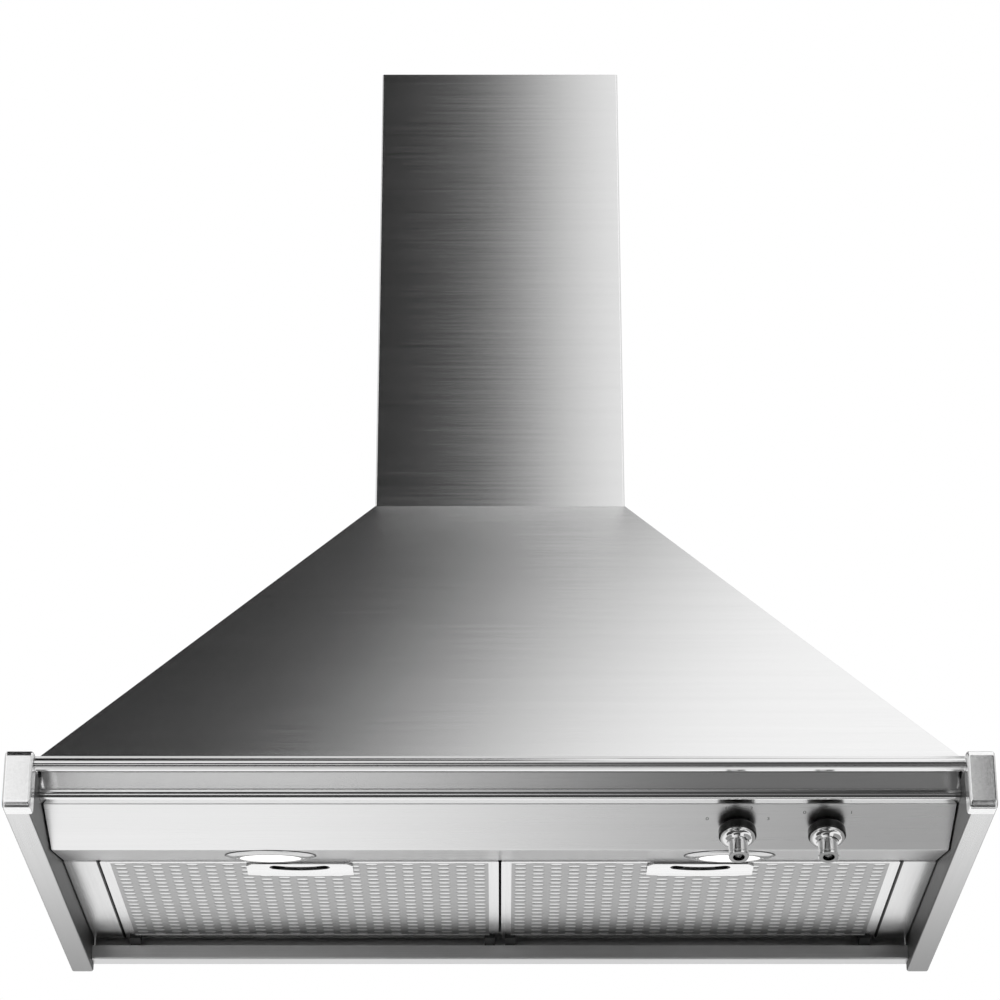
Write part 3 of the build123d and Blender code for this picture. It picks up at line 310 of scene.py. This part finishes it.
# Plain finishes: shade, roughness, warmth and how metallic
plainFinishes = {
    "meshFoil": (0.96, 0.36, 0.0, 1.0),
    "bezelSteel": (0.66, 0.18, 0.0, 1.0),
    "motorPaint": (0.035, 0.42, 0.0, 0.0),
    "bladeMetal": (0.62, 0.36, 0.0, 1.0),
    "turnedSteel": (0.55, 0.25, 0.0, 1.0),
    "springSteel": (0.45, 0.22, 0.0, 1.0),
    "bulbGlass": (0.85, 0.12, 0.04, 0.0),
}
finishes = {
    "zincSheet": galvanisedSheet("zincSheet"),
    "chrome": chromePlate("chrome"),
    "skirtPlastic": blackPlastic("skirtPlastic", 0.28),
    "boxPlastic": blackPlastic("boxPlastic", 0.5),
    "ink": printedInk("ink"),
}
for name, (grain, shade, roughness, scratch, contrast, parts) in steels.items():
    paintedShade = [paintedShadeParts[part] for part in parts]
    finishes[name] = brushedSteel(name, grains[grain], shade, roughness, scratch, contrast, paintedShade)
for name, look in plainFinishes.items():
    finishes[name] = plainMetal(name, *look)
print("materials made")


def dress(material, *names):  # one material on each node named
    for name in names:
        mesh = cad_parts[name].data
        mesh.materials.clear()
        mesh.materials.append(material)


def both(*stems):  # the left and right nodes of each stem
    return [f"{stem}_{side}" for stem in stems for side in sides]


def perKnob(*stems):  # the two knobs' nodes of each stem
    return [f"{stem}_{knob}" for stem in stems for knob in knobs]


dressing = {
    "canopySteel": ["canopy"],
    "chimneySteel": ["lower_chimney", "upper_chimney"],
    "polishedSteel": ["front_rail", "front_fascia"],
    "railSteel": ["rear_rail"],
    "panelSteel": ["control_panel"],
    "barSteel": both("side_bar"),
    "capSteel": both("end_cap"),
    "marginSteel": both("margin_plate"),
    "filterRim": both("filter_frame", "filter_latch"),
    "filterSteel": both("filter_face"),
    "handleSteel": both("filter_handle"),
    "meshFoil": both("filter_mesh"),
    "springSteel": both("latch_spring"),
    "skirtPlastic": perKnob("knob_skirt") + both("filter_lugs"),
    "boxPlastic": perKnob("rotary_switch") + ["terminal_box", "cable_gland"],
    "chrome": perKnob("knob_body"),
    "bezelSteel": both("lamp_bezel"),
    "turnedSteel": perKnob("knob_spindle") + ["fan_shaft", "flap_pin"],
    "zincSheet": both("lamp_housing", "flap")
    + ["back_panel", "blower_housing", "inlet_ring", "motor_bracket", "blower_brackets"]
    + ["duct_collar", "chimney_bracket"],
    "motorPaint": ["fan_motor"],
    "bladeMetal": ["impeller", "impeller_blades"],
    "bulbGlass": both("lamp_bulb"),
}
for finish, names in dressing.items():
    dress(finishes[finish], *names)
for side in sides:
    low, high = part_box(f"lamp_lens_{side}")
    lens = frostedLens(f"frostedLens_{side}", (low + high) / 2, (high.x - low.x) / 2)
    dress(lens, f"lamp_lens_{side}")
print("frame dressed")


doubleReach = 0.01 * mm  # points nearer than this are merged


def addObject(name, data):  # an object at the origin, unturned
    made = bpy.data.objects.new(name, data)
    bpy.context.scene.collection.objects.link(made)
    return made


def mergeDoubles(mesh):  # points that nearly coincide become one, which closes the seams
    shell = bmesh.new()
    shell.from_mesh(mesh)
    bmesh.ops.remove_doubles(shell, verts=shell.verts, dist=doubleReach)
    shell.to_mesh(mesh)
    shell.free()


# Slotted filter face: columns of round-ended slots, each column half a row out of step with the next.
slotted = {
    "columnPitch": 17.6 * mm,
    "rowPitch": 11.8 * mm,
    "columns": 21,
    "rows": 21,
    "slotLength": 11.4 * mm,
    "slotWidth": 6.4 * mm,
    "sheet": 0.25 * mm,
    "cupLength": 70.6 * mm,
    "cupRear": 28.0 * mm,  # behind the handle's front edge
    "cupMargin": 0.2 * mm,
    "sidePoints": 7,  # on each long side of a cell
}


def sheetGrid(acrossX, alongY):
    # a flat grid: each point is one x of the first list with one y of the second
    gridX, gridY = np.meshgrid(acrossX, alongY, indexing="ij")
    points = np.stack([gridX.ravel(), gridY.ravel()], 1)
    corner = (np.arange(len(acrossX) - 1)[:, None] * len(alongY) + np.arange(len(alongY) - 1)).ravel()
    faces = np.stack([corner, corner + 1, corner + len(alongY) + 1, corner + len(alongY)], 1)
    return points, faces


def joined(parts, level):
    # several flat patches as one list of points and faces at one height
    start = np.cumsum([0] + [len(points) for points, faces in parts])
    flat = np.concatenate([points for points, faces in parts])
    faces = np.concatenate([patch[1] + first for patch, first in zip(parts, start)])
    return np.column_stack([flat, np.full(len(flat), level)]), faces


def slottedFace(side):
    # A cell is a ring of points on its rectangle joined to as many points round its slot. A column's cells
    # sit on whole rows, shifted by half a row in every other column, and are cut off at the sheet's ends.
    low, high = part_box(f"filter_face_{side}")
    handleLow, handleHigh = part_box(f"filter_handle_{side}")
    pitchX, pitchY = slotted["columnPitch"], slotted["rowPitch"]
    sidePoints = slotted["sidePoints"]
    ringPoints = 2 * sidePoints + 2
    across = np.linspace(0.5, -0.5, sidePoints)
    ringX = np.concatenate([[0.5], across, [-0.5], -across]) * pitchX
    ringY = np.concatenate([[0], np.full(sidePoints, 0.5), [0], np.full(sidePoints, -0.5)]) * pitchY
    angle = np.linspace(0, 2 * pi, ringPoints, endpoint=False)
    radius = slotted["slotWidth"] / 2
    reach = slotted["slotLength"] / 2 - radius
    slotX = radius * np.cos(angle) + reach * np.sign(np.round(np.cos(angle), 6))
    slotY = radius * np.sin(angle)
    ring = np.concatenate([np.stack([ringX, ringY], 1), np.stack([slotX, slotY], 1)])
    step = np.arange(ringPoints)
    after = (step + 1) % ringPoints
    quads = np.stack([step, step + ringPoints, after + ringPoints, after], 1)

    column = np.arange(slotted["columns"])
    row = np.arange(slotted["rows"])
    shift = (column % 2)[:, None] / 2
    middleX = (low.x + high.x) / 2 + (column - (slotted["columns"] - 1) / 2) * pitchX
    rowZero = handleLow.y + slotted["cupRear"] + slotted["cupMargin"] - 1.5 * pitchY
    cellY = rowZero + (row[None, :] - shift) * pitchY
    cellX = np.broadcast_to(middleX[:, None], cellY.shape)
    cells = np.stack([cellX.ravel(), cellY.ravel()], 1)
    handleX = (handleLow.x + handleHigh.x) / 2
    besideCup = abs(cells[:, 0] - handleX) < slotted["cupLength"] / 2 + pitchX / 2
    beforeCup = cells[:, 1] - pitchY / 2 < handleLow.y + slotted["cupRear"]
    cells = cells[~(besideCup & beforeCup)]
    points = (cells[:, None, :] + ring[None]).reshape(-1, 2)
    faces = (np.arange(len(cells))[:, None, None] * len(ring) + quads[None]).reshape(-1, 4)
    points[:, 1] = np.clip(points[:, 1], low.y, high.y)

    # plain fillers close each column's short end, and a plain strip runs down each side
    parts = [(points, faces)]
    firstEdge = rowZero - pitchY / 2
    lastEdge = rowZero + (slotted["rows"] - 1) * pitchY
    for k in column:
        edges = middleX[k] + across[::-1] * pitchX
        if k % 2:
            parts.append(sheetGrid(edges, [lastEdge, high.y]))
        elif abs(middleX[k] - handleX) > slotted["cupLength"] / 2 + pitchX / 2:
            parts.append(sheetGrid(edges, [low.y, firstEdge]))
    halfRows = np.arange(firstEdge, lastEdge + pitchY / 4, pitchY / 2)
    alongSide = np.concatenate([[low.y], halfRows, [high.y]])
    parts.append(sheetGrid([low.x, middleX[0] - pitchX / 2], alongSide))
    parts.append(sheetGrid([middleX[-1] + pitchX / 2, high.x], alongSide))
    return joined(parts, low.z)


def makePiece(name, points, faces, material, body):
    # points and faces become one object at the origin, with doubles merged
    mesh = bpy.data.meshes.new(name)
    mesh.from_pydata(np.asarray(points).tolist(), [], np.asarray(faces).tolist())
    mergeDoubles(mesh)
    mesh.materials.append(material)
    piece = addObject(name, mesh)
    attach(piece, body)
    return piece


def thicken(piece, thickness, offset):  # an offset of 1 grows downwards here, and -1 upwards
    wall = piece.modifiers.new("wall", "SOLIDIFY")
    wall.thickness = thickness
    wall.offset = offset
    wall.use_even_offset = False


for side in sides:
    points, faces = slottedFace(side)
    steel = finishes["filterSteel"]
    piece = makePiece(f"slottedFace_{side}", points, faces, steel, f"filter_{side}")
    thicken(piece, slotted["sheet"], 1.0)
    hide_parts(f"filter_face_{side}")
print("slotted faces made")

# Foil: the first layer of the grease mesh lies right behind the slotted face, and shows as bright dashes
foil = {"gap": 0.05 * mm, "sheet": 0.1 * mm, "inset": 3.0 * mm, "cupRoom": 1.0 * mm}


def foilSheet(side):
    # a sheet of six patches, less the one that the handle's cup fills
    low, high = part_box(f"filter_face_{side}")
    handleLow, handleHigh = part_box(f"filter_handle_{side}")
    middle = (handleLow.x + handleHigh.x) / 2
    halfCup = slotted["cupLength"] / 2 + foil["cupRoom"]
    cupRear = handleLow.y + slotted["cupRear"] + foil["cupRoom"]
    acrossX = [low.x + foil["inset"], middle - halfCup, middle + halfCup, high.x - foil["inset"]]
    alongY = [low.y + foil["inset"], cupRear, high.y - foil["inset"]]
    points, faces = sheetGrid(acrossX, alongY)
    cupPatch = 2
    return joined([(points, np.delete(faces, cupPatch, 0))], low.z + foil["gap"])


for side in sides:
    points, faces = foilSheet(side)
    bright = finishes["meshFoil"]
    piece = makePiece(f"meshFoil_{side}", points, faces, bright, f"filter_{side}")
    thicken(piece, foil["sheet"], -1.0)
print("foil made")


rightward = np.array([1.0, 0.0, 0.0])
nearlyAlike = 0.995  # the cosine between two directions about six degrees apart


def meshArrays(node):
    # a node's points, and its faces' normals and centres, as arrays
    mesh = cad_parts[node].data
    points = np.empty(len(mesh.vertices) * 3)
    normals = np.empty(len(mesh.polygons) * 3)
    centres = np.empty(len(mesh.polygons) * 3)
    mesh.vertices.foreach_get("co", points)
    mesh.polygons.foreach_get("normal", normals)
    mesh.polygons.foreach_get("center", centres)
    return points.reshape(-1, 3), normals.reshape(-1, 3), centres.reshape(-1, 3)


def outerPlane(node, facing):
    # the outermost flat face that looks along a given direction: its own direction, and its level along it
    normals, centres = meshArrays(node)[1:]
    facing = np.asarray(facing) / np.linalg.norm(facing)
    alike = normals @ facing > nearlyAlike
    facing = normals[alike].mean(0)
    facing /= np.linalg.norm(facing)
    return facing, (centres[alike] @ facing).max()


def middlePlace(node, along, facing, level):
    # the point of a plane under a node's middle: half-way along x, and half-way along the plane's slope
    points = meshArrays(node)[0]
    reach = points @ along
    middleX = (points[:, 0].min() + points[:, 0].max()) / 2
    return middleX * rightward + (reach.min() + reach.max()) / 2 * along + level * facing


def turnedRings(rings, count, origin, axis):
    # a closed body of turning: each ring is a radius and a height along the axis from the origin. Its points
    # are origin + radius (cos a rightward + sin a third) + height axis, and rings of no radius are the poles.
    third = np.cross(axis, rightward)
    angle = np.linspace(0, 2 * pi, count, endpoint=False)
    spoke = np.cos(angle)[:, None] * rightward + np.sin(angle)[:, None] * third
    points = [origin + np.asarray(radius)[..., None] * spoke + height * axis for radius, height in rings]
    points = np.concatenate(points)
    step = np.arange(count)
    after = (step + 1) % count
    quad = np.stack([step, after, after + count, step + count], 1)
    faces = np.concatenate([quad + k * count for k in range(len(rings) - 1)])
    return points, faces


# Latch springs: a copy of each spring, with its doubles merged, that rides with its filter in place of the
# original
for side in sides:
    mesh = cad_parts[f"latch_spring_{side}"].data.copy()
    mesh.name = f"springCoil_{side}"
    mergeDoubles(mesh)
    if "custom_normal" in mesh.attributes:  # they were worked out for the loose triangles
        mesh.attributes.remove(mesh.attributes["custom_normal"])
    piece = addObject(mesh.name, mesh)
    low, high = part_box(f"latch_spring_{side}")
    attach(piece, f"filter_{side}")
    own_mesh(piece)
    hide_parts(f"latch_spring_{side}")
print("springs made")

# Lamp gaskets: a thin black ring round each bezel, on the lamp strip
gasket = {"inner": 43.0 * mm, "outer": 44.1 * mm, "stand": 0.35 * mm, "count": 96}
stripFacing, stripLevel = outerPlane("control_panel", (0, 0.203, -0.979))
stripUp = np.cross(stripFacing, rightward)
for side in sides:
    origin = middlePlace(f"lamp_bezel_{side}", stripUp, stripFacing, stripLevel)
    rings = [(gasket["inner"], 0), (gasket["outer"], 0), (gasket["outer"], gasket["stand"])]
    rings += [(gasket["inner"], gasket["stand"]), (gasket["inner"], 0)]
    points, faces = turnedRings(rings, gasket["count"], origin, stripFacing)
    makePiece(f"lampGasket_{side}", points, faces, finishes["skirtPlastic"], "hood")
print("gaskets made")

# Knob marks: plain printed numerals on an arc round each knob, flat on the control panel
marks = {
    "fan": {"0": -67.5, "1": -22.5, "2": 22.5, "3": 67.5},  # degrees from the panel's front edge
    "light": {"0": -45.0, "1": 45.0},
    "radius": 31.0 * mm,
    "size": 6.5 * mm,
    "film": 0.02 * mm,
}
panelFacing, panelLevel = outerPlane("control_panel", (0, -0.296, -0.955))
panelUp = np.cross(panelFacing, rightward)
knobFeet = {knob: middlePlace(f"knob_skirt_{knob}", panelUp, panelFacing, panelLevel) for knob in knobs}


def markMesh(name, digit, centre):
    # a numeral as a thin plate: its x runs rightward, its y up the panel, and its z out of it
    words = bpy.data.curves.new("words", "FONT")
    words.body = digit
    words.size = marks["size"]
    words.align_x = "CENTER"
    words.align_y = "CENTER"
    words.extrude = marks["film"] / 2
    source = bpy.data.objects.new("words", words)
    mesh = bpy.data.meshes.new_from_object(source)
    bpy.data.objects.remove(source)
    mesh.name = name
    place = Matrix.Identity(4)
    for row in range(3):
        place[row] = (rightward[row], panelUp[row], panelFacing[row], centre[row])
    mesh.transform(place)
    mesh.materials.clear()
    mesh.materials.append(finishes["ink"])
    return mesh


for knob in knobs:
    for digit, turn in marks[knob].items():
        sideways = marks["radius"] * np.sin(radians(turn)) * rightward
        upwards = marks["radius"] * np.cos(radians(turn)) * panelUp
        centre = knobFeet[knob] + sideways + upwards + marks["film"] / 2 * panelFacing
        mesh = markMesh(f"mark_{knob}_{digit}", digit, centre)
        piece = addObject(mesh.name, mesh)
        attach(piece, "hood")
print("marks made")

# Grub screws: a hexagon socket screw in each stem's front
grub = {
    "radius": 1.25 * mm,
    "height": 19.3 * mm,  # above the panel
    "face": 8.3 * mm,  # from the knob's axis
    "depth": 2.4 * mm,
    "socket": 0.66 * mm,  # from its middle to a flat
    "socketDepth": 1.3 * mm,
    "count": 24,
}
for knob in knobs:
    # a hexagon's point at angle a lies socket / cos(a - its flat's angle) from the middle
    angle = np.linspace(0, 2 * pi, grub["count"], endpoint=False)
    hexagon = grub["socket"] / np.cos((angle + pi / 6) % (pi / 3) - pi / 6)
    shank = np.full(grub["count"], grub["radius"])
    pole = np.zeros(grub["count"])
    origin = knobFeet[knob] + grub["height"] * panelFacing + grub["face"] * panelUp
    rings = [(pole, -grub["depth"]), (shank, -grub["depth"]), (shank, 0), (hexagon, 0)]
    rings += [(hexagon, -grub["socketDepth"]), (pole, -grub["socketDepth"])]
    points, faces = turnedRings(rings, grub["count"], origin, panelUp)
    makePiece(f"grubScrew_{knob}", points, faces, finishes["turnedSteel"], f"knob_{knob}")
print("grub screws made")

# Camera: below the hood and in front of it, looking up
view = {
    "place": (0.0, -3.3, -0.983),
    "pitch": 24.4,
    "sensor": 36.0,
    "reach": 3.234,  # the lens's length in sensor widths
}
camera = addObject("camera", bpy.data.cameras.new("camera"))
camera.location = view["place"]
camera.rotation_euler = (radians(90 + view["pitch"]), 0, 0)
camera.data.sensor_width = view["sensor"]
camera.data.lens = view["sensor"] * view["reach"]
bpy.context.scene.camera = camera
print("camera set")

# Light: soft lamps, and a white room with dark flags and grey cards that stand out of the camera's view, as
# a photographer's do. A flag hides a share of the white behind it, from cover's first value to its second,
# and the share changes smoothly with x + lean y + rise z over its run.
lamps = {
    "overhead": {"place": (0.9, -1.1, 2.3), "aim": (0.1, -0.3, 0.3), "power": 12},
    "frontSide": {"place": (1.6, -2.4, 0.8), "aim": (0.1, -0.3, 0.2), "power": 12},
    "underside": {"place": (-0.9, -1.2, -1.6), "aim": (-0.1, -0.35, 0.0), "power": 10},
}
lampSize = 1.2
for name, lamp in lamps.items():
    light = bpy.data.lights.new(name, "AREA")
    light.shape = "RECTANGLE"
    light.size = light.size_y = lampSize
    light.energy = lamp["power"]
    holder = addObject(name, light)
    holder.location = lamp["place"]
    holder.rotation_mode = "QUATERNION"
    holder.rotation_quaternion = (Vector(lamp["aim"]) - Vector(lamp["place"])).to_track_quat("-Z", "Y")
    holder.visible_camera = False
    holder.visible_glossy = False

flagDefaults = {"run": (0.0, 1.0), "lean": 0.0, "rise": 0.0}
flags = {
    "chimneyFlag": {
        "low": (-0.85, -1.25, 0.5),
        "high": (0.3, -1.25, 2.4),
        "cover": (1.0, 0.0),
        "run": (-0.03, 0.18),
    },
    "canopyFlag": {
        "low": (-1.1, -1.25, 1.6),
        "high": (1.0, 0.6, 1.6),
        "cover": (0.975, 0.0),
        "run": (0.02, 0.735),
        "lean": -0.8,
    },
    "stripFlag": {
        "low": (-0.54, -1.25, 0.1),
        "high": (0.54, -1.25, 0.5),
        "cover": (0.28, 0.0),
        "run": (0.05, 0.5),
    },
    "capFlag": {"low": (0.53, -1.25, 0.0), "high": (1.3, -1.25, 0.6), "cover": (0.92, 0.92)},
    "beadFlag": {
        "low": (-0.7, -1.62, -0.46),
        "high": (0.7, -1.62, 0.06),
        "cover": (0.05, 0.97),
        "run": (-0.55, 0.6),
    },
    "lowFlag": {"low": (-0.7, -1.62, -1.0), "high": (0.7, -1.62, -0.46), "cover": (0.94, 0.94)},
    "frontFlag": {"low": (-0.7, -1.62, -1.0), "high": (0.7, -1.25, -1.0), "cover": (0.94, 0.94)},
    "leftFlag": {"low": (-0.7, -1.25, -1.0), "high": (-0.597, -0.92, -1.0), "cover": (0.94, 0.94)},
    "fasciaFlag": {
        "low": (-0.597, -1.25, -1.0),
        "high": (0.7, -0.92, -1.0),
        "cover": (0.15, 0.78),
        "run": (-0.29, 0.32),
    },
    "floorFlag": {"low": (-0.7, -0.92, -1.0), "high": (0.7, -0.15, -1.0), "cover": (0.94, 0.94)},
    "leftCard": {
        "low": (-2.6, -2.2, -2.5),
        "high": (-2.6, 2.4, 3.5),
        "cover": (0.70, 0.30),
        "run": (-100, 160),
        "rise": 100,
    },
    "rightCard": {
        "low": (2.6, -2.2, -2.5),
        "high": (2.6, 2.4, 3.5),
        "cover": (0.66, 0.26),
        "run": (-100, 160),
        "rise": 100,
    },
    "backCard": {
        "low": (-2.6, 2.4, -0.2),
        "high": (2.6, 2.4, 3.5),
        "cover": (0.60, 0.30),
        "run": (-20, 200),
        "rise": 100,
    },
    "panelFlag": {
        "low": (-0.7, 0.05, -1.0),
        "high": (1.0, 1.0, -1.0),
        "cover": (0.0, 0.66),
        "run": (-0.36, 0.5),
    },
}


def flagCloth(name, flag):  # dark cloth that lets through what cover leaves
    cloth, wire = newMaterial(name)
    across, deep, tall = [alongAxis(wire, axis) for axis in "XYZ"]
    first, last = flag["cover"]
    place = across + deep * flag["lean"] + tall * flag["rise"]
    cover = place.between(*flag["run"]) * (last - first) + first
    clear = wire.node("BsdfTransparent", {}, {})
    dark = wire.node("BsdfDiffuse", {}, {"Color": grey(0.002)})
    wire.node("OutputMaterial", {}, {"Surface": wire.node("MixShader", {}, {0: cover, 1: clear, 2: dark})})
    return cloth


for name, choices in flags.items():
    flag = {**flagDefaults, **choices}
    low, high = Vector(flag["low"]), Vector(flag["high"])
    # a level flag's first side runs along x alone, and an upright one's goes from low x and y to high x and y
    firstY, lastY = (low.y, high.y) if low.z == high.z else (high.y, low.y)
    corners = [low, (high.x, firstY, low.z), high, (low.x, lastY, high.z)]
    mesh = bpy.data.meshes.new(name)
    mesh.from_pydata(corners, [], [(0, 1, 2, 3)])
    mesh.materials.append(flagCloth(name, flag))
    holder = addObject(name, mesh)
    holder.visible_camera = False
    holder.visible_diffuse = False
    holder.visible_shadow = False
print("lamps and flags set")


def rayKinds(wire):  # whether a ray comes straight from the camera, off a shiny surface, or through glass
    kinds = ("Is Camera Ray", "Is Glossy Ray", "Is Transmission Ray")
    return [wire.node("LightPath", {}, {}, output=kind) for kind in kinds]


world = bpy.data.worlds.new("room")
bpy.context.scene.world = world
world.use_nodes = True
world.node_tree.nodes.clear()
wire = Wire(world.node_tree)
seen, gloss, through = rayKinds(wire)
plain = wire.node("Background", {}, {"Color": grey(0.9), "Strength": 0.6})
white = wire.node("Background", {}, {"Color": grey(1.0), "Strength": 1.0})
walls = wire.node("MixShader", {}, {0: seen + gloss + through, 1: plain, 2: white})
wire.node("OutputWorld", {}, {"Surface": walls})

# Floor: a pale painted plane far below, which shows plain white in the steel
floor = {"drop": -5.0, "reach": 30.0, "paleness": 0.85}
across = np.array([-1, 1, 1, -1]) * floor["reach"]
deep = np.array([-1, -1, 1, 1]) * floor["reach"]
mesh = bpy.data.meshes.new("floor")
mesh.from_pydata(np.column_stack([across, deep, np.full(4, floor["drop"])]).tolist(), [], [(0, 1, 2, 3)])
floorMaterial, wire = newMaterial("floorPaint")
speck = noise(wire, objectPlace(wire), 3.0, 3.0)
paint = wire.node("BsdfPrincipled", {}, {"Base Color": speck.mix(grey(0.86), grey(0.90)), "Roughness": 0.9})
glow = wire.node("Emission", {}, {"Color": grey(1.0), "Strength": 1.0})
seen, gloss, through = rayKinds(wire)
lit = wire.node("MixShader", {}, {0: seen * floor["paleness"] + gloss + through, 1: paint, 2: glow})
wire.node("OutputMaterial", {}, {"Surface": lit})
mesh.materials.append(floorMaterial)
ground = addObject("floor", mesh)
print("room and floor set")

bpy.context.scene.view_settings.view_transform = "Standard"
